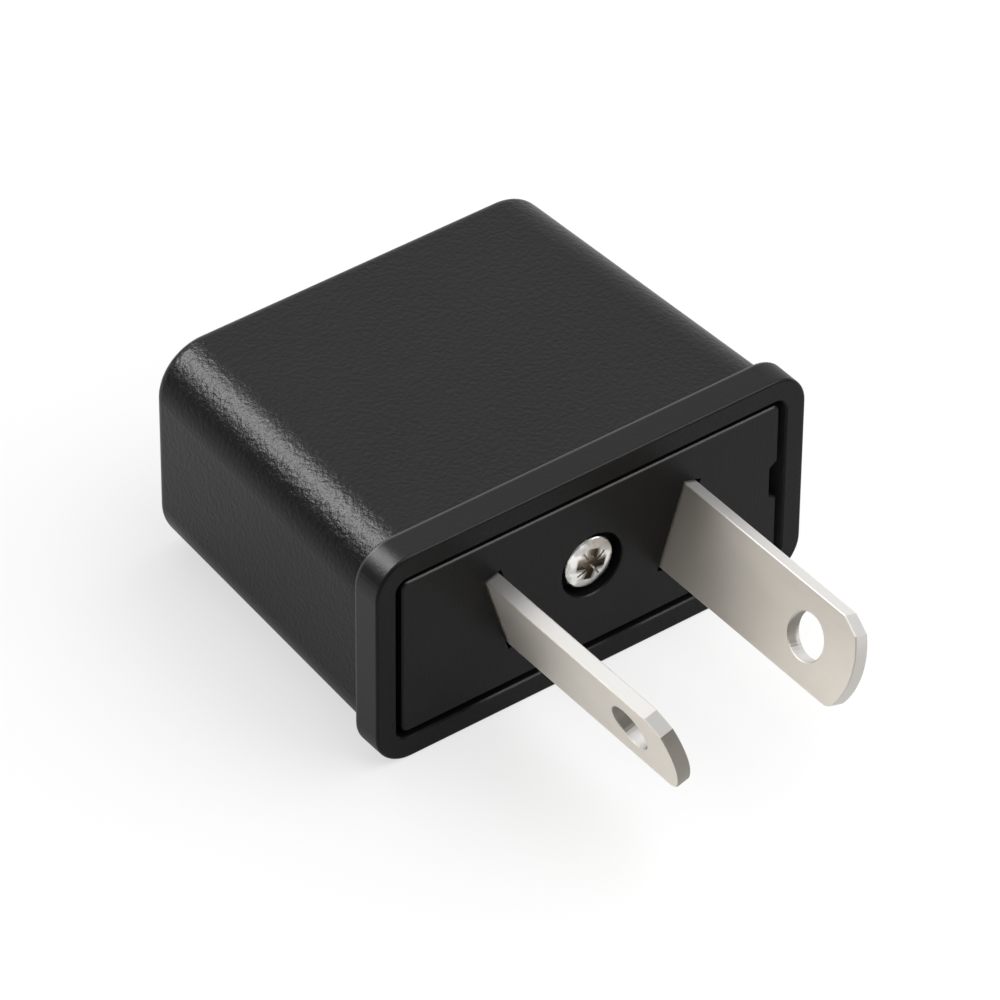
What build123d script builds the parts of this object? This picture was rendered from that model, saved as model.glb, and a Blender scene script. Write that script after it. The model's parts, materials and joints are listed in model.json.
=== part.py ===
"""Two-pin travel adapter: a tapered housing closed by an inset face plate, with two slanted flat blades.

Millimetres. +Z is up with the adapter lying on a broad side, the blades point along -Y, and the origin is
on the resting plane, under the middle of the overall box. Depths are measured from the flange's front face
into the housing, heights from the adapter's middle plane.
"""

import os
from math import cos, radians, sin, sqrt, tan

from build123d import *

os.makedirs("parts", exist_ok=True)

# Flange and housing
flange_w = 33.0
flange_h = 16.0
flange_t = 2.3
flange_r = 2.6
flange_edge_r = 0.2
flange_rear_r = 0.2
lip_side = 0.4
lip_top = 0.25
housing_depth = 25.6
side_taper = 1.2
body_r = 3.5
rear_edge_r = 0.9
wall = 2.2
rear_wall = 2.2

# Frame round the face plate
frame_side = 1.5
frame_top = 1.65
frame_corner_r = 0.9
frame_edge = 0.1

# Face plate
plate_gap_side = 0.5
plate_gap_top = 0.4
plate_inset = 0.1
plate_t = 2.0
plate_corner_r = 0.5
plate_edge = 0.1
notch_h = 2.9
notch_depth = 0.55
notch_slope = 0.35

# Blades
blade_pitch = 13.5
blade_rise = 0.1
blade_tilt = 17.2
blade_w = 6.2
blade_t = 1.0
blade_reach = 17.4
blade_slot_gap = 0.2
blade_edge_break = 0.06
tip_arc_r = 5.0
tip_chamfer = 0.85
tip_round = 1.1
blade_hole_d = 3.2
blade_hole_from_tip = 4.45

# Screw and its boss
screw_rise = 0.25
head_d = 3.75
head_rim = 0.9
head_edge_r = 0.2
head_height = 1.2
head_sink = 0.05
shank_d = 2.0
shank_length = 9.5
recess_arm = 1.1
recess_w = 0.55
recess_depth = 0.7
recess_turn = -15.0
tick_reach = 1.2
tick_w = 0.14
tick_depth = 0.4
bore_d = 4.65
bore_edge = 0.08
hole_gap = 0.25
thread_gap = 0.03
boss_wall = 1.7
plate_boss_wall = 1.95
plate_boss_t = 1.3
boss_gap = 0.1
boss_hole_spare = 0.8
web_t = 1.2
web_setback = 4.0

# Pins and flat blades that the rear takes
pin_pitch = 19.0
pin_d = 4.8
pin_hole_d = 5.0
flat_pitch = 12.7
flat_t = 1.5
flat_slot_w = 1.9
flat_slot_h = 7.0
mouth_chamfer = 0.3

# Contacts
contact_t = 0.5
contact_gap = 0.2
clip_root_gap = 0.05
clip_pinch = 0.6
clip_flare = 0.8
leaf_bow = 0.3
leaf_flare = 0.5
spring_straight = 4.5
spring_reach = 12.5
spring_flare = 3.5
fold_r = 0.6
bow_r = 4.0
clip_side_gap = 1.0
tab_gap = 0.15
rest_gap = 0.1

# Rivets
rivet_inset = 2.3
rivet_d = 1.8
rivet_sink_d = 3.0
rivet_sink_angle = 90.0
rivet_head_d = 2.5
rivet_head_h = 0.6
rivet_edge = 2.4
rivet_gap = 0.02

# Places that follow from the sizes above
overall_length = blade_reach + housing_depth
face_y = blade_reach - overall_length / 2
mid_z = flange_h / 2
body_w = flange_w - 2 * lip_side
body_h = flange_h - 2 * lip_top
opening_w = flange_w - 2 * frame_side
opening_h = flange_h - 2 * frame_top
plate_w = opening_w - 2 * plate_gap_side
plate_h = opening_h - 2 * plate_gap_top
plate_back = plate_inset + plate_t
cavity_end = housing_depth - rear_wall
cavity_h = body_h - 2 * wall
foot_back = plate_back + blade_t
contact_back = foot_back + contact_t
contact_mid = foot_back + contact_t / 2
pin_x = pin_pitch / 2
flat_x = flat_pitch / 2
blade_x = blade_pitch / 2
clip_in = flat_x + flat_t / 2 + contact_gap
clip_z = pin_d / 2 + clip_root_gap + contact_t / 2
rivet_x = clip_in + rivet_inset
rivet_s = (rivet_x - blade_x) / cos(radians(blade_tilt))
rivet_rise = blade_rise - rivet_s * sin(radians(blade_tilt))
foot_end = rivet_s + rivet_edge
leaf_x = flat_x - flat_t / 2 - contact_t / 2
leaf_half = clip_z - contact_t
spring_front = contact_mid + spring_straight
spring_mid = spring_front + spring_reach - spring_straight
spring_end = spring_mid + spring_flare
rivet_sink = (rivet_sink_d - rivet_d) / 2 / tan(radians(rivet_sink_angle / 2))
head_top = plate_inset + head_sink
head_seat = head_top + head_height
plate_boss_back = plate_back + plate_boss_t
boss_front = plate_boss_back + boss_gap
boss_d = shank_d + 2 * boss_wall
plate_boss_d = shank_d + 2 * (hole_gap + plate_boss_wall)
boss_hole_end = head_seat + shank_length + boss_hole_spare
bend_start = plate_inset + plate_t / 2
tip_sag = tip_arc_r - sqrt(tip_arc_r**2 - (blade_w / 2) ** 2)


def at_depth(depth, x=0.0, rise=0.0):
    """Plane facing the blades' side: local x is +X, local y is +Z."""
    return Plane(origin=(x, face_y + depth, mid_z + rise), x_dir=(1, 0, 0), z_dir=(0, -1, 0))


def body_width(depth):
    """Outside width of the housing, which narrows evenly from the flange to the rear."""
    share = (depth - flange_t) / (housing_depth - flange_t)
    return body_w - 2 * side_taper * share


def cavity_width(depth):
    """Inside width of the housing."""
    return body_width(depth) - 2 * wall


def tapered_plan(width, front, back):
    """Plan view of the housing between two depths, where width gives the size at each."""
    with BuildSketch(Plane.XY.offset(mid_z)) as plan:
        with BuildLine():
            Polyline(
                (-width(front) / 2, face_y + front),
                (width(front) / 2, face_y + front),
                (width(back) / 2, face_y + back),
                (-width(back) / 2, face_y + back),
                close=True,
            )
        make_face()
    return plan.sketch


def slanted(edges):
    """The edges that run along the taper."""
    return edges.filter_by(Axis.X, reverse=True).filter_by(Axis.Z, reverse=True)


def dome_radius(half_width, height):
    """Radius of the arc that rises by height over half_width."""
    return (half_width**2 + height**2) / (2 * height)


def width_across(side):
    """Direction across a blade's width: the blades lean outwards at the top."""
    return Vector(side * sin(radians(blade_tilt)), 0, cos(radians(blade_tilt)))


def outward_normal(side):
    """Direction out of a blade's outer face, along which its foot lies."""
    return Vector(side * cos(radians(blade_tilt)), 0, -sin(radians(blade_tilt)))


def blade_origin(side):
    return Vector(side * blade_x, face_y, mid_z + blade_rise)


# Places that follow from the side walls
clip_out = cavity_width(spring_end) / 2 - clip_side_gap
tab_out = cavity_width(contact_back) / 2 - tab_gap


# Housing: tapered body, flange, frame, cavity with boss and rests, and the two rear apertures
with BuildPart() as housing:
    extrude(tapered_plan(body_width, 0, housing_depth), amount=body_h / 2, both=True)
    fillet(slanted(housing.edges()), body_r)
    fillet(housing.faces().sort_by(Axis.Y)[-1].edges(), rear_edge_r)

    with BuildSketch(at_depth(0)):
        RectangleRounded(flange_w, flange_h, flange_r)
    extrude(amount=-flange_t)
    flange_front, flange_rear = housing.faces().filter_by(Axis.Y).sort_by(Axis.Y)[:2]
    fillet(flange_front.outer_wire().edges(), flange_edge_r)
    fillet(flange_rear.outer_wire().edges(), flange_rear_r)

    with BuildSketch(at_depth(0)):
        RectangleRounded(opening_w, opening_h, frame_corner_r)
    extrude(amount=-plate_back, mode=Mode.SUBTRACT)
    chamfer(housing.faces().sort_by(Axis.Y)[0].inner_wires().edges(), frame_edge)

    cavity_plan = tapered_plan(cavity_width, plate_back, cavity_end)
    extrude(cavity_plan, amount=cavity_h / 2, both=True, mode=Mode.SUBTRACT)
    fillet(slanted(housing.edges(Select.LAST)), body_r - wall)

    with BuildSketch(at_depth(boss_front, rise=screw_rise)):
        Circle(boss_d / 2)
    extrude(amount=boss_front - cavity_end)
    with BuildSketch(at_depth(boss_front + web_setback)):
        Rectangle(web_t, cavity_h)
    extrude(amount=boss_front + web_setback - cavity_end)
    with BuildSketch(at_depth(boss_front, rise=screw_rise)):
        Circle(shank_d / 2 + thread_gap)
    extrude(amount=boss_front - boss_hole_end, mode=Mode.SUBTRACT)

    rest_front = contact_back + rest_gap
    rest_in = clip_out + contact_t
    rest_out = body_width(rest_front) / 2 - wall / 2
    with BuildSketch(at_depth(rest_front)):
        for side in (-1, 1):
            with Locations((side * (rest_in + rest_out) / 2, 0)):
                Rectangle(rest_out - rest_in, 2 * leaf_half)
    extrude(amount=rest_front - contact_back - spring_straight)

    with BuildSketch(at_depth(housing_depth)):
        for side in (-1, 1):
            with Locations((side * pin_x, 0)):
                Circle(pin_hole_d / 2)
            with Locations((side * flat_x, 0)):
                Rectangle(flat_slot_w, flat_slot_h)
    extrude(amount=rear_wall, mode=Mode.SUBTRACT)
    chamfer(housing.faces().sort_by(Axis.Y)[-1].inner_wires().edges(), mouth_chamfer)

housing.part.label = "housing"
export_step(housing.part, "parts/housing.step")


# Face plate: notch in the right edge, counterbored screw hole, boss behind it, and a slot for each blade
with BuildPart() as face_plate:
    with BuildSketch(at_depth(plate_inset)):
        RectangleRounded(plate_w, plate_h, plate_corner_r)
        with BuildLine():
            Polyline(
                (plate_w / 2, notch_h / 2),
                (plate_w / 2 - notch_depth, notch_h / 2 - notch_slope),
                (plate_w / 2 - notch_depth, notch_slope - notch_h / 2),
                (plate_w / 2, -notch_h / 2),
                close=True,
            )
        make_face(mode=Mode.SUBTRACT)
    extrude(amount=-plate_t)
    chamfer(face_plate.faces().sort_by(Axis.Y)[0].outer_wire().edges(), plate_edge)

    with BuildSketch(at_depth(plate_back, rise=screw_rise)):
        Circle(plate_boss_d / 2)
    extrude(amount=-plate_boss_t)
    with Locations(at_depth(plate_inset, rise=screw_rise)):
        CounterBoreHole(shank_d / 2 + hole_gap, bore_d / 2, head_seat - plate_inset)
    chamfer(face_plate.faces().sort_by(Axis.Y)[0].inner_wires().edges(), bore_edge)

    with BuildSketch(at_depth(plate_inset)):
        for side in (-1, 1):
            with Locations((side * blade_x, blade_rise)):
                Rectangle(
                    blade_t + 2 * blade_slot_gap,
                    blade_w + 2 * blade_slot_gap,
                    rotation=-side * blade_tilt,
                )
    extrude(amount=-plate_t, mode=Mode.SUBTRACT)

face_plate.part.label = "face_plate"
export_step(face_plate.part, "parts/face_plate.step")


# Blades: a flat tongue with an arched tip and a hole, bent outwards behind the plate into a riveted foot
for side, name in ((-1, "blade_left"), (1, "blade_right")):
    broad = Plane(origin=blade_origin(side), x_dir=width_across(side), z_dir=-side * outward_normal(side))
    edge_on = Plane(origin=blade_origin(side), x_dir=outward_normal(side), z_dir=side * width_across(side))
    foot_face = at_depth(plate_back, x=side * rivet_x, rise=rivet_rise)
    tip = blade_reach - tip_sag

    with BuildPart() as blade:
        with BuildSketch(broad) as tongue:
            with BuildLine():
                Polyline(
                    (blade_w / 2, -tip),
                    (blade_w / 2, bend_start),
                    (-blade_w / 2, bend_start),
                    (-blade_w / 2, -tip),
                )
                ThreePointArc((-blade_w / 2, -tip), (0, -blade_reach), (blade_w / 2, -tip))
            make_face()
            corners = tongue.vertices().group_by(Axis.Y)[0].sort_by(Axis.X)
            fillet(corners[0], tip_round)
            chamfer(tongue.vertices().sort_by_distance((blade_w / 2, -tip))[0], tip_chamfer)
            with Locations((0, blade_hole_from_tip - blade_reach)):
                Circle(blade_hole_d / 2, mode=Mode.SUBTRACT)
        extrude(amount=blade_t / 2, both=True)
        root = blade.faces().sort_by(Axis.Y)[-1]
        chamfer(blade.faces().filter_by(broad).edges() - root.edges(), blade_edge_break)

        with BuildSketch(edge_on) as bend:
            with BuildLine():
                Polyline(
                    (-blade_t / 2, bend_start),
                    (blade_t / 2, bend_start),
                    (blade_t / 2, plate_back),
                    (foot_end, plate_back),
                    (foot_end, foot_back),
                    (-blade_t / 2, foot_back),
                    close=True,
                )
            make_face()
            fillet(bend.vertices().sort_by_distance((blade_t / 2, plate_back))[0], blade_slot_gap)
            fillet(bend.vertices().sort_by_distance((-blade_t / 2, foot_back))[0], blade_slot_gap + blade_t)
        extrude(amount=blade_w / 2, both=True)
        with Locations(foot_face):
            CounterSinkHole(
                rivet_d / 2 + rivet_gap, rivet_sink_d / 2 + rivet_gap, counter_sink_angle=rivet_sink_angle
            )

    blade.part.label = name
    export_step(blade.part, f"parts/{name}.step")


# Contacts: a spring clip for a round pin, joined at its base to a leaf that presses on a flat blade
for side, name in ((-1, "contact_left"), (1, "contact_right")):
    across = Plane(origin=(side * clip_in, face_y, mid_z), x_dir=(0, 1, 0), z_dir=(1, 0, 0))
    along = Plane(origin=(0, face_y, mid_z), x_dir=(0, 1, 0), z_dir=(0, 0, 1))

    with BuildPart() as contact:
        with BuildSketch(across):
            with BuildLine():
                FilletPolyline(
                    (spring_end, clip_z + clip_flare - clip_pinch),
                    (spring_mid, clip_z - clip_pinch),
                    (spring_front, clip_z),
                    (contact_mid, clip_z),
                    (contact_mid, -clip_z),
                    (spring_front, -clip_z),
                    (spring_mid, clip_pinch - clip_z),
                    (spring_end, clip_pinch - clip_flare - clip_z),
                    radius=[bow_r, bow_r, fold_r, fold_r, bow_r, bow_r],
                )
            trace(line_width=contact_t)
        extrude(amount=side * (clip_out - clip_in))

        with BuildSketch(along):
            with BuildLine():
                FilletPolyline(
                    (contact_mid, -side * rivet_x),
                    (contact_mid, -side * leaf_x),
                    (spring_front, -side * leaf_x),
                    (spring_mid, -side * (leaf_x + leaf_bow)),
                    (spring_end, -side * (leaf_x + leaf_bow - leaf_flare)),
                    radius=[fold_r, bow_r, bow_r],
                )
            trace(line_width=contact_t)
        extrude(amount=leaf_half, both=True)

        with BuildSketch(at_depth(foot_back)):
            with Locations((side * (rivet_x + tab_out) / 2, 0)):
                Rectangle(tab_out - rivet_x, 2 * leaf_half)
        extrude(amount=-contact_t)
        with BuildSketch(at_depth(foot_back, x=side * rivet_x, rise=rivet_rise)):
            Circle(rivet_d / 2 + rivet_gap)
        extrude(amount=-contact_t, mode=Mode.SUBTRACT)

    contact.part.label = name
    export_step(contact.part, f"parts/{name}.step")


# Rivets: flush with the foot in front, upset behind the contact
with BuildPart() as rivets:
    for side in (-1, 1):
        with BuildSketch(Plane(origin=(side * rivet_x, face_y, mid_z + rivet_rise), x_dir=(1, 0, 0))):
            with BuildLine():
                Polyline(
                    (0, plate_back),
                    (rivet_sink_d / 2, plate_back),
                    (rivet_d / 2, plate_back + rivet_sink),
                    (rivet_d / 2, contact_back),
                    (rivet_head_d / 2, contact_back),
                    (rivet_head_d / 2, contact_back + rivet_head_h),
                    (0, contact_back + rivet_head_h),
                    close=True,
                )
            make_face()
        revolve(axis=Axis((side * rivet_x, 0, mid_z + rivet_rise), (0, 1, 0)))

rivets.part.label = "rivets"
export_step(rivets.part, "parts/rivets.step")


# Screw: pan head with a cross recess and a fine mark between each pair of arms
with BuildPart() as screw:
    with BuildSketch(Plane(origin=(0, face_y, mid_z + screw_rise), x_dir=(1, 0, 0))) as profile:
        shank_end = head_seat + shank_length
        rim_top = (head_d / 2, head_seat - head_rim)
        with BuildLine():
            Polyline(
                (0, head_top),
                (0, shank_end),
                (shank_d / 2, shank_end),
                (shank_d / 2, head_seat),
                (head_d / 2, head_seat),
                rim_top,
            )
            RadiusArc((0, head_top), rim_top, -dome_radius(head_d / 2, head_height - head_rim))
        make_face()
        fillet(profile.vertices().sort_by_distance(rim_top)[0], head_edge_r)
    revolve(axis=Axis((0, 0, mid_z + screw_rise), (0, 1, 0)))
    with BuildSketch(at_depth(head_top, rise=screw_rise)):
        for turn in (0, 90):
            Rectangle(2 * recess_arm, recess_w, rotation=recess_turn + turn)
    extrude(amount=-recess_depth, mode=Mode.SUBTRACT)
    with BuildSketch(at_depth(head_top, rise=screw_rise)):
        for turn in (45, 135):
            Rectangle(2 * tick_reach, tick_w, rotation=recess_turn + turn)
    extrude(amount=-tick_depth, mode=Mode.SUBTRACT)

screw.part.label = "screw"
export_step(screw.part, "parts/screw.step")
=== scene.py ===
"""Looks of a small black travel adapter: moulded plastic, nickel-plated blades and a zinc-plated screw."""

import json
from math import cos, radians, sin

import bpy
from mathutils import Matrix, Vector


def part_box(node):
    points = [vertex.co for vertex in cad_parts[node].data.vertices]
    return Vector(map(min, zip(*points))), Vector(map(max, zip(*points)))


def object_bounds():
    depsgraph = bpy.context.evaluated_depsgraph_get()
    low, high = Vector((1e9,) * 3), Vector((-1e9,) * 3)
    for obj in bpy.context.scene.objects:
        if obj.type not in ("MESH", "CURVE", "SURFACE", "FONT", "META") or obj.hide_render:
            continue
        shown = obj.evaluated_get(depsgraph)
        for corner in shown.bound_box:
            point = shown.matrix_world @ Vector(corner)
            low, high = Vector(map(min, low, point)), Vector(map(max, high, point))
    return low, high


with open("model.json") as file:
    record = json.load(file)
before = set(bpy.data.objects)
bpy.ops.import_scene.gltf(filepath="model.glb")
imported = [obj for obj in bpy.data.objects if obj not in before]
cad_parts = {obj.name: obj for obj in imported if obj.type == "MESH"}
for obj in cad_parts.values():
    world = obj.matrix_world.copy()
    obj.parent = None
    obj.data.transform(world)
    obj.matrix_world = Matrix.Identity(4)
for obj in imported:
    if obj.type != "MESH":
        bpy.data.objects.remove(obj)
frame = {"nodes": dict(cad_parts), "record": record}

MM = 0.001
cad_low, cad_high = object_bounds()
scene = bpy.context.scene


# Sizes that the finishes follow, in metres

housing_low, housing_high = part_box("housing")
plate_low, plate_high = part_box("face_plate")
screw_low, screw_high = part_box("screw")
blade_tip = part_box("blade_left")[0].y

flange_thickness = 2.3 * MM
flange_front = housing_low.y
flange_rear = flange_front + flange_thickness
middle_z = (housing_low.z + housing_high.z) / 2

blade_tilt = radians(17.2)
blade_rise = 0.1 * MM
hole_radius = 1.6 * MM
hole_from_tip = 4.45 * MM
hole_y = blade_tip + hole_from_tip
hole_z = middle_z + blade_rise

screw_x = (screw_low.x + screw_high.x) / 2
screw_z = (screw_low.z + screw_high.z) / 2
screw_front = screw_low.y
recess_turn = radians(-15)


# Finishes, as node trees written as expressions

# A Mix node's colour sockets, by number because its number sockets have the same names
MIX_COLOUR_A = 6
MIX_COLOUR_B = 7
MIX_COLOUR_RESULT = 2


class Value:
    """A socket of a finish that takes part in arithmetic, each step of which adds a Math node."""

    def __init__(self, finish, socket):
        self.finish = finish
        self.socket = socket

    def math(self, operation, first, second):
        return self.finish.add("ShaderNodeMath", {"operation": operation}, {0: first, 1: second})

    def __add__(self, other):
        return self.math("ADD", self, other)

    def __radd__(self, other):
        return self.math("ADD", other, self)

    def __sub__(self, other):
        return self.math("SUBTRACT", self, other)

    def __rsub__(self, other):
        return self.math("SUBTRACT", other, self)

    def __mul__(self, other):
        return self.math("MULTIPLY", self, other)

    def __rmul__(self, other):
        return self.math("MULTIPLY", other, self)

    def __pow__(self, other):
        return self.math("POWER", self, other)

    def __abs__(self):
        return self.finish.add("ShaderNodeMath", {"operation": "ABSOLUTE"}, {0: self})


class Finish:
    """One node tree, of a material or the world."""

    def __init__(self, owner):
        owner.use_nodes = True
        self.owner = owner
        self.tree = owner.node_tree
        self.tree.nodes.clear()

    def add(self, kind, settings=None, sockets=None, output=0):
        """Adds a node: its settings first, then the values or links of its sockets. Gives one output."""
        node = self.tree.nodes.new(kind)
        for name, setting in (settings or {}).items():
            setattr(node, name, setting)
        for name, given in (sockets or {}).items():
            if isinstance(given, Value):
                self.tree.links.new(given.socket, node.inputs[name])
            else:
                node.inputs[name].default_value = given
        return Value(self, node.outputs[output]) if node.outputs else None

    # Short forms of the nodes that the finishes share

    def place(self, kind="Object"):
        return self.add("ShaderNodeTexCoord", output=kind)

    def along(self, axis, kind="Object"):
        """Place along an axis, in metres for an object."""
        return self.add("ShaderNodeSeparateXYZ", sockets={0: self.place(kind)}, output=axis)

    def facing(self, axis):
        """How far the surface faces along an axis, from -1 to 1."""
        normal = self.add("ShaderNodeNewGeometry", output="True Normal")
        return self.add("ShaderNodeSeparateXYZ", sockets={0: normal}, output=axis)

    def stretched(self, x, y, z):
        """Place multiplied along each axis, so that a pattern comes out drawn along one."""
        return self.add(
            "ShaderNodeVectorMath", {"operation": "MULTIPLY"}, {0: self.place(), 1: (x, y, z)}
        )

    def noise(self, vector, scale, detail, roughness=0.5):
        """Noise from 0 to 1, with scale in waves for each metre."""
        return self.add(
            "ShaderNodeTexNoise",
            sockets={"Vector": vector, "Scale": scale, "Detail": detail, "Roughness": roughness},
        )

    def ramp(self, value, start, end):
        """A smooth step from 0 to 1 as the value goes from start to end."""
        return self.add(
            "ShaderNodeMapRange",
            {"interpolation_type": "SMOOTHSTEP"},
            {"Value": value, "From Min": start, "From Max": end},
        )

    def tint(self, share, first, second):
        """A colour between two, by share."""
        return self.add(
            "ShaderNodeMix",
            {"data_type": "RGBA"},
            {"Factor": share, MIX_COLOUR_A: first, MIX_COLOUR_B: second},
            output=MIX_COLOUR_RESULT,
        )

    def bump(self, height, distance):
        return self.add("ShaderNodeBump", sockets={"Height": height, "Distance": distance})

    def surface(self, **sockets):
        """Ends the tree in one shader, with constants on its own sockets."""
        named = {name.replace("_", " "): given for name, given in sockets.items()}
        shader = self.add("ShaderNodeBsdfPrincipled", sockets=named)
        self.add("ShaderNodeOutputMaterial", sockets={"Surface": shader})
        return self.owner


def rgb(red, green, blue):
    return (red, green, blue, 1.0)


def grey(level, warmth=0.0):
    return rgb(level * (1 + warmth), level, level * (1 - warmth))


WHITE = grey(1.0)


def grained_black():
    """Housing: spark-eroded grain, shallower on the side walls and the flange, whose sides are paler; a
    painted highlight runs along the flange's rear edge, and painted shade darkens the flange's front face.
    """
    f = Finish(bpy.data.materials.new("grained_black"))
    cloud = f.noise(f.place(), 160, detail=3.0)

    # Masks, by place and by the way that the surface faces
    depth = f.along("Y")
    sideways = f.facing("X")
    lengthways = f.facing("Y")
    on_flange = f.ramp(depth, flange_rear + 0.05 * MM, flange_rear - 0.05 * MM)
    painted_shade_front = f.ramp(depth, flange_front + 0.10 * MM, flange_front + 0.04 * MM)
    on_side = f.ramp(sideways * sideways, 0.70, 0.95)
    on_end = f.ramp(lengthways * lengthways, 0.50, 0.90)
    by_rear_edge = f.ramp(depth, flange_rear - 0.34 * MM, flange_rear - 0.14 * MM)
    painted_edge_highlight = by_rear_edge * on_flange * (1 - on_end)
    within_height = f.ramp(abs(f.along("Z") - middle_z), 5.5 * MM, 4.5 * MM)
    within_width = f.ramp(abs(f.along("X")), 13.2 * MM, 12.4 * MM)
    inside = within_height * within_width * (1 - on_end)

    # Grain
    pebbles = f.noise(f.place(), 3100, detail=2.0)
    sand = f.noise(f.place(), 9500, detail=1.0)
    evened = (1 - 0.76 * on_flange) * (1 - 0.5 * on_side) * (1 - 0.85 * inside)
    height = (pebbles + 0.22 * sand) * evened

    # Colour
    moulded = f.tint(cloud, grey(0.0048, -0.01), grey(0.0072, -0.01))
    # The flange's sides are given a paler colour than the body's.
    paler_flange_sides = f.tint(on_flange * on_side * (0.6 + 0.4 * cloud), moulded, grey(0.034))
    # Painted highlight: a pale grey line along the flange's rear edge, where the edge would catch the light.
    with_painted_highlight = f.tint(painted_edge_highlight * (0.4 + 0.6 * cloud), paler_flange_sides, grey(0.11))
    return f.surface(
        # Painted shade: the flange's front face is made darker than the rest of the housing.
        Base_Color=f.tint(painted_shade_front, with_painted_highlight, grey(0.0018)),
        Roughness=0.31 + 0.08 * cloud + 0.05 * on_flange + 0.12 * inside,
        Specular_IOR_Level=0.13,
        Normal=f.bump(height, 0.058 * MM),
    )


def satin_black():
    """Face plate: smoother than the housing, with the faint lines of its mould and a painted highlight along
    its upper front edge.
    """
    f = Finish(bpy.data.materials.new("satin_black"))
    lines = f.noise(f.stretched(1.0, 1.0, 0.08), 5200, detail=2.0)
    sand = f.noise(f.place(), 7000, detail=1.5)
    cloud = f.noise(f.place(), 210, detail=3.0)
    painted_highlight_top = f.ramp(f.along("Z"), plate_high.z - 0.10 * MM, plate_high.z - 0.04 * MM)
    at_front = f.ramp(f.along("Y"), plate_low.y + 0.14 * MM, plate_low.y + 0.09 * MM)
    moulded = f.tint(cloud, grey(0.0042), grey(0.0062))
    return f.surface(
        # Painted highlight: a pale grey line along the plate's upper front edge.
        Base_Color=f.tint(painted_highlight_top * at_front * (0.2 + 0.8 * cloud), moulded, grey(0.08)),
        Roughness=0.34 + 0.10 * cloud,
        Specular_IOR_Level=0.12,
        Normal=f.bump(lines + 0.6 * sand, 0.008 * MM),
    )


def brushed_nickel():
    """Blades: warm nickel plate drawn along their length, duller where the strip was cut; painted shade
    darkens the left blade's cut faces and the walls of the hole, and a painted sheen pales the faces that
    look up.
    """
    f = Finish(bpy.data.materials.new("brushed_nickel"))
    streaks = f.noise(f.stretched(1.0, 0.035, 1.0), 7000, detail=3.0, roughness=0.6)
    fine = f.noise(f.stretched(1.0, 0.06, 1.0), 22000, detail=1.0)
    cloud = f.noise(f.place(), 240, detail=3.0)

    # Masks, by place and by the way that the surface faces
    lengthways = f.facing("Y")
    upwards = f.facing("Z")
    punched = f.ramp(lengthways * lengthways, 0.15, 0.50)
    painted_sheen_up = f.ramp(upwards * upwards, 0.3, 0.7)
    right_hand = f.ramp(f.along("X"), -1.0 * MM, 1.0 * MM)
    near_plate = f.ramp(f.along("Y"), plate_low.y - 7.0 * MM, plate_low.y - 1.0 * MM)
    past_hole = f.along("Y") - hole_y
    over_hole = (f.along("Z") - hole_z) * (1 / cos(blade_tilt))
    from_hole = (past_hole * past_hole + over_hole * over_hole) ** 0.5
    bored = f.ramp(from_hole, hole_radius + 0.06 * MM, hole_radius)

    # Colour
    plated = f.tint(0.65 * cloud + 0.35 * streaks, rgb(0.66, 0.615, 0.55), rgb(0.80, 0.76, 0.70))
    # Painted sheen: surfaces that face up are given a paler, more neutral colour, as if catching the light.
    with_painted_highlight = f.tint(painted_sheen_up, plated, rgb(0.80, 0.785, 0.765))
    # Cut faces are duller; painted shade makes the left blade's cut faces and the walls of the hole darker
    # than the right blade's.
    ends_with_painted_shade = f.tint(right_hand * (1 - bored), rgb(0.27, 0.25, 0.222), rgb(0.57, 0.55, 0.52))
    return f.surface(
        Base_Color=f.tint(punched, with_painted_highlight, ends_with_painted_shade),
        # The right blade's upward faces near the plate are made mostly non-metallic, so that their pale
        # colour shows there as a painted highlight.
        Metallic=0.85 - 0.75 * painted_sheen_up * right_hand * near_plate,
        Roughness=0.52 + 0.10 * streaks,
        Normal=f.bump(streaks + 0.5 * fine, 0.0035 * MM),
    )


def zinc_plate():
    """Screw: bright turned head with dull patches, a brown stain in its recess, and painted shade round the
    recess on the head's face.
    """
    f = Finish(bpy.data.materials.new("zinc_plate"))
    x = f.along("X") - screw_x
    z = f.along("Z") - screw_z
    depth = f.along("Y") - screw_front
    radius = (x * x + z * z) ** 0.5

    # Painted shade round the cross recess: two arms at right angles and a round core, wider than the recess
    # itself
    across = abs(x * cos(recess_turn) + z * sin(recess_turn))
    upright = abs(z * cos(recess_turn) - x * sin(recess_turn))
    first_arm, second_arm = (
        f.ramp(aside, 0.62 * MM, 0.34 * MM) * f.ramp(out, 1.28 * MM, 0.98 * MM)
        for aside, out in ((across, upright), (upright, across))
    )
    core = f.ramp(radius, 0.86 * MM, 0.58 * MM)
    on_head = f.ramp(depth, 0.95 * MM, 0.75 * MM)
    recess_and_painted_shade = (1 - (1 - first_arm) * (1 - second_arm) * (1 - core)) * on_head
    deep = f.ramp(depth, 0.25 * MM, 0.45 * MM)

    # Colour
    turned = f.noise(f.add("ShaderNodeCombineXYZ", sockets={0: radius}), 14000, detail=2.0)
    patches = f.ramp(f.noise(f.place(), 1100, detail=2.0), 0.40, 0.58)
    plated = f.tint(patches, rgb(0.56, 0.55, 0.53), rgb(0.88, 0.87, 0.85))
    # Brown stain deep in the recess, and darker painted shade where the masks reach the head's face.
    stain_and_painted_shade = f.tint(deep, rgb(0.24, 0.215, 0.18), rgb(0.52, 0.465, 0.40))
    return f.surface(
        Base_Color=f.tint(recess_and_painted_shade, plated, stain_and_painted_shade),
        Metallic=1.0,
        Roughness=0.30 - 0.08 * patches + 0.2 * recess_and_painted_shade,
        Normal=f.bump(turned, 0.002 * MM),
    )


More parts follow.
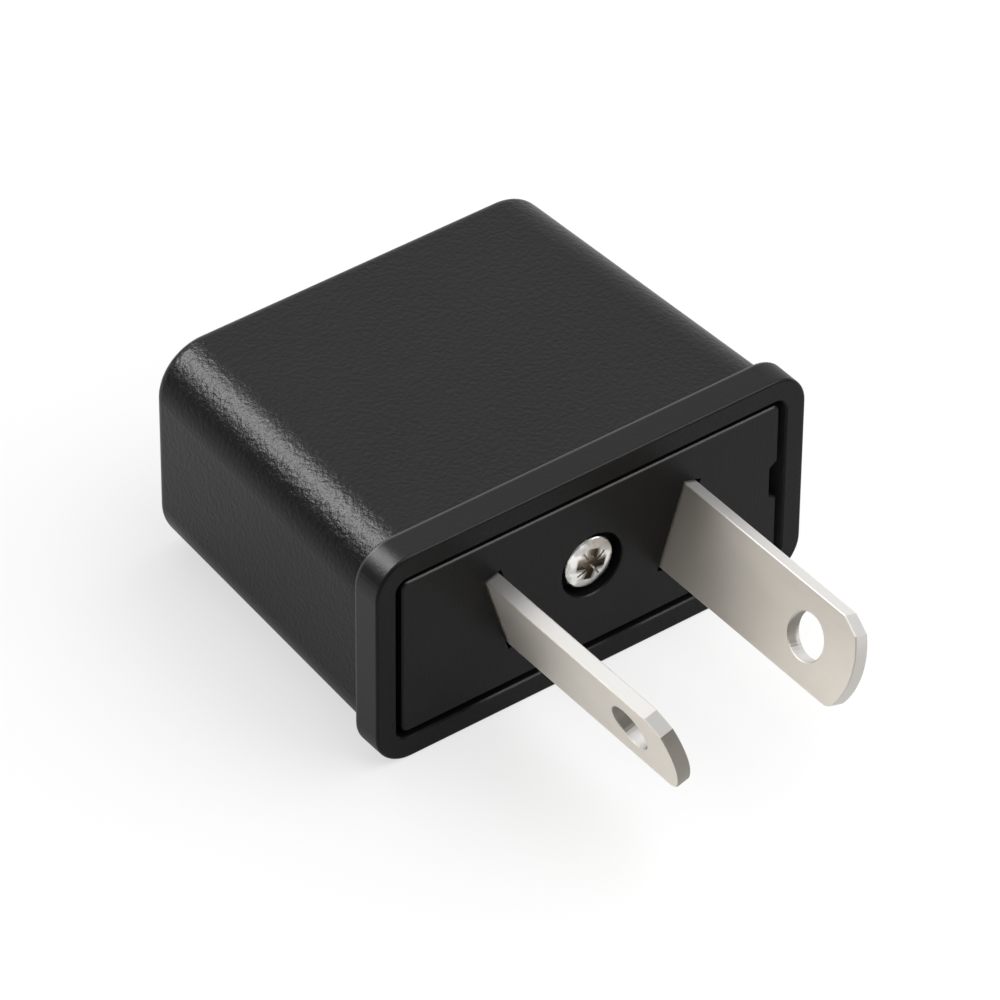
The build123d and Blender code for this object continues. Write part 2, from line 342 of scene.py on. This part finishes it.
def rolled_brass():
    """Contacts: strip with the rolling direction along the adapter."""
    f = Finish(bpy.data.materials.new("rolled_brass"))
    streaks = f.noise(f.stretched(1.0, 0.05, 1.0), 6000, detail=3.0)
    tarnish = f.ramp(f.noise(f.place(), 420, detail=4.0), 0.45, 0.75)
    bright = f.tint(streaks, rgb(0.72, 0.53, 0.25), rgb(0.82, 0.64, 0.34))
    return f.surface(
        Base_Color=f.tint(0.5 * tarnish, bright, rgb(0.45, 0.30, 0.14)),
        Metallic=1.0,
        Roughness=0.24 + 0.14 * streaks + 0.12 * tarnish,
        Normal=f.bump(streaks, 0.003 * MM),
    )


def upset_brass():
    """Rivets: dull where the ends were hammered over."""
    f = Finish(bpy.data.materials.new("upset_brass"))
    dents = f.noise(f.place(), 2600, detail=2.0)
    tarnish = f.noise(f.place(), 700, detail=3.0)
    return f.surface(
        Base_Color=f.tint(tarnish, rgb(0.62, 0.46, 0.22), rgb(0.78, 0.62, 0.34)),
        Metallic=1.0,
        Roughness=0.30 + 0.15 * tarnish,
        Normal=f.bump(dents, 0.012 * MM),
    )


finish_of_slot = {
    "housing": grained_black(),
    "plate": satin_black(),
    "blade": brushed_nickel(),
    "screw": zinc_plate(),
    "contact": rolled_brass(),
    "rivet": upset_brass(),
}
plastic_slots = ("housing", "plate")
plastics = []
metals = []
for subpart in frame["record"]["subparts"]:
    node = frame["nodes"][subpart["node"]]
    slot = subpart["material_slot"]
    node.data.materials.clear()
    node.data.materials.append(finish_of_slot[slot])
    kin = plastics if slot in plastic_slots else metals
    kin.append(node)


# Floor and room


def white_floor():
    """Pale paper that keeps its shadow and shows as white to the camera, in gloss and through glass."""
    f = Finish(bpy.data.materials.new("white_floor"))
    camera_ray, glossy_ray, through_glass = (
        f.add("ShaderNodeLightPath", output=name + " Ray")
        for name in ("Is Camera", "Is Glossy", "Is Transmission")
    )
    paper = f.add("ShaderNodeBsdfDiffuse", sockets={"Color": grey(0.88)})
    white = f.add("ShaderNodeEmission", sockets={"Color": WHITE, "Strength": 1.0})
    share = 0.65 * camera_ray + 0.3 * glossy_ray + 0.65 * through_glass
    shown = f.add("ShaderNodeMixShader", sockets={0: share, 1: paper, 2: white})
    f.add("ShaderNodeOutputMaterial", sockets={"Surface": shown})
    return f.owner


floor_reach = 3.0
floor_gap = 0.02 * MM
floor_corners = [
    (-floor_reach, -floor_reach, 0),
    (floor_reach, -floor_reach, 0),
    (floor_reach, floor_reach, 0),
    (-floor_reach, floor_reach, 0),
]
floor_mesh = bpy.data.meshes.new("floor")
floor_mesh.from_pydata(floor_corners, [], [(0, 1, 2, 3)])
floor_mesh.materials.append(white_floor())
floor = bpy.data.objects.new("floor", floor_mesh)
floor.location.z = cad_low.z - floor_gap
scene.collection.objects.link(floor)

wall_strength = 0.20
ceiling_strength = 0.62
scene.world = bpy.data.worlds.new("white_room")
room = Finish(scene.world)
walls, ceiling = (
    room.add("ShaderNodeBackground", sockets={"Color": WHITE, "Strength": strength})
    for strength in (wall_strength, ceiling_strength)
)
height_share = room.ramp(room.along("Z", "Generated"), 0.1, 0.9)
shell = room.add("ShaderNodeMixShader", sockets={0: height_share, 1: walls, 2: ceiling})
room.add("ShaderNodeOutputWorld", sockets={"Surface": shell})


# Lamps, by direction from the adapter, distance and size in metres, and power in watts

lamp_aim = Vector((0, 0, 8 * MM))


def soft_box(name, direction, distance, size, power, lit=(), gloss_only=False):
    """A lamp that faces the adapter, kept to the pieces that it lights as black cards beside it would."""
    lamp = bpy.data.lights.new(name, "AREA")
    lamp.shape = "RECTANGLE"
    lamp.size, lamp.size_y = size
    lamp.energy = power
    holder = bpy.data.objects.new(name, lamp)
    towards = Vector(direction).normalized()
    holder.location = lamp_aim + towards * distance
    holder.rotation_euler = towards.to_track_quat("Z", "Y").to_euler()
    holder.visible_diffuse = not gloss_only
    scene.collection.objects.link(holder)
    if lit:
        receivers = bpy.data.collections.new(name + "_lit")
        for piece in lit:
            receivers.objects.link(piece)
        holder.light_linking.receiver_collection = receivers


soft_box("soft_box_band", (-0.344, 0.612, 0.712), 0.6, (0.30, 0.30), 9.0, plastics, gloss_only=True)
soft_box("soft_box_edges", (0.467, -0.638, 0.612), 0.7, (0.2, 0.2), 2.2, plastics, gloss_only=True)
soft_box("soft_box_blades", (-0.70, 0.42, 0.58), 0.6, (0.3, 0.3), 3.6, metals, gloss_only=True)
soft_box("soft_box_ends", (0.80, -0.56, 0.22), 0.7, (0.4, 0.3), 1.6, metals, gloss_only=True)
soft_box("soft_box_right", (0.60, 0.62, 0.50), 0.7, (0.9, 0.7), 1.85)
soft_box("soft_box_key", (0.45, -0.38, 0.81), 0.7, (0.8, 0.8), 5.2, plastics + [floor])


# Camera, at the photograph's viewing angle

azimuth = radians(-37.32)
elevation = radians(39.66)
roll = radians(0.5)
distance = 451.3 * MM
aim = Vector((-7.26 * MM, flange_front, 17.09 * MM))

camera = bpy.data.cameras.new("camera")
camera.sensor_width = 36.0
camera.lens = 270.0
camera.clip_start = 0.01
camera.clip_end = 20.0
view = bpy.data.objects.new("camera", camera)
scene.collection.objects.link(view)

back = Vector((sin(azimuth) * cos(elevation), -cos(azimuth) * cos(elevation), sin(elevation)))
right = (-back).cross(Vector((0, 0, 1))).normalized()
up = back.cross(right)
tilted_right = right * cos(roll) + up * sin(roll)
tilted_up = up * cos(roll) - right * sin(roll)
turn = Matrix((tilted_right, tilted_up, back)).transposed()
view.matrix_world = Matrix.Translation(aim + back * distance) @ turn.to_4x4()
scene.camera = view

scene.view_settings.view_transform = "Standard"
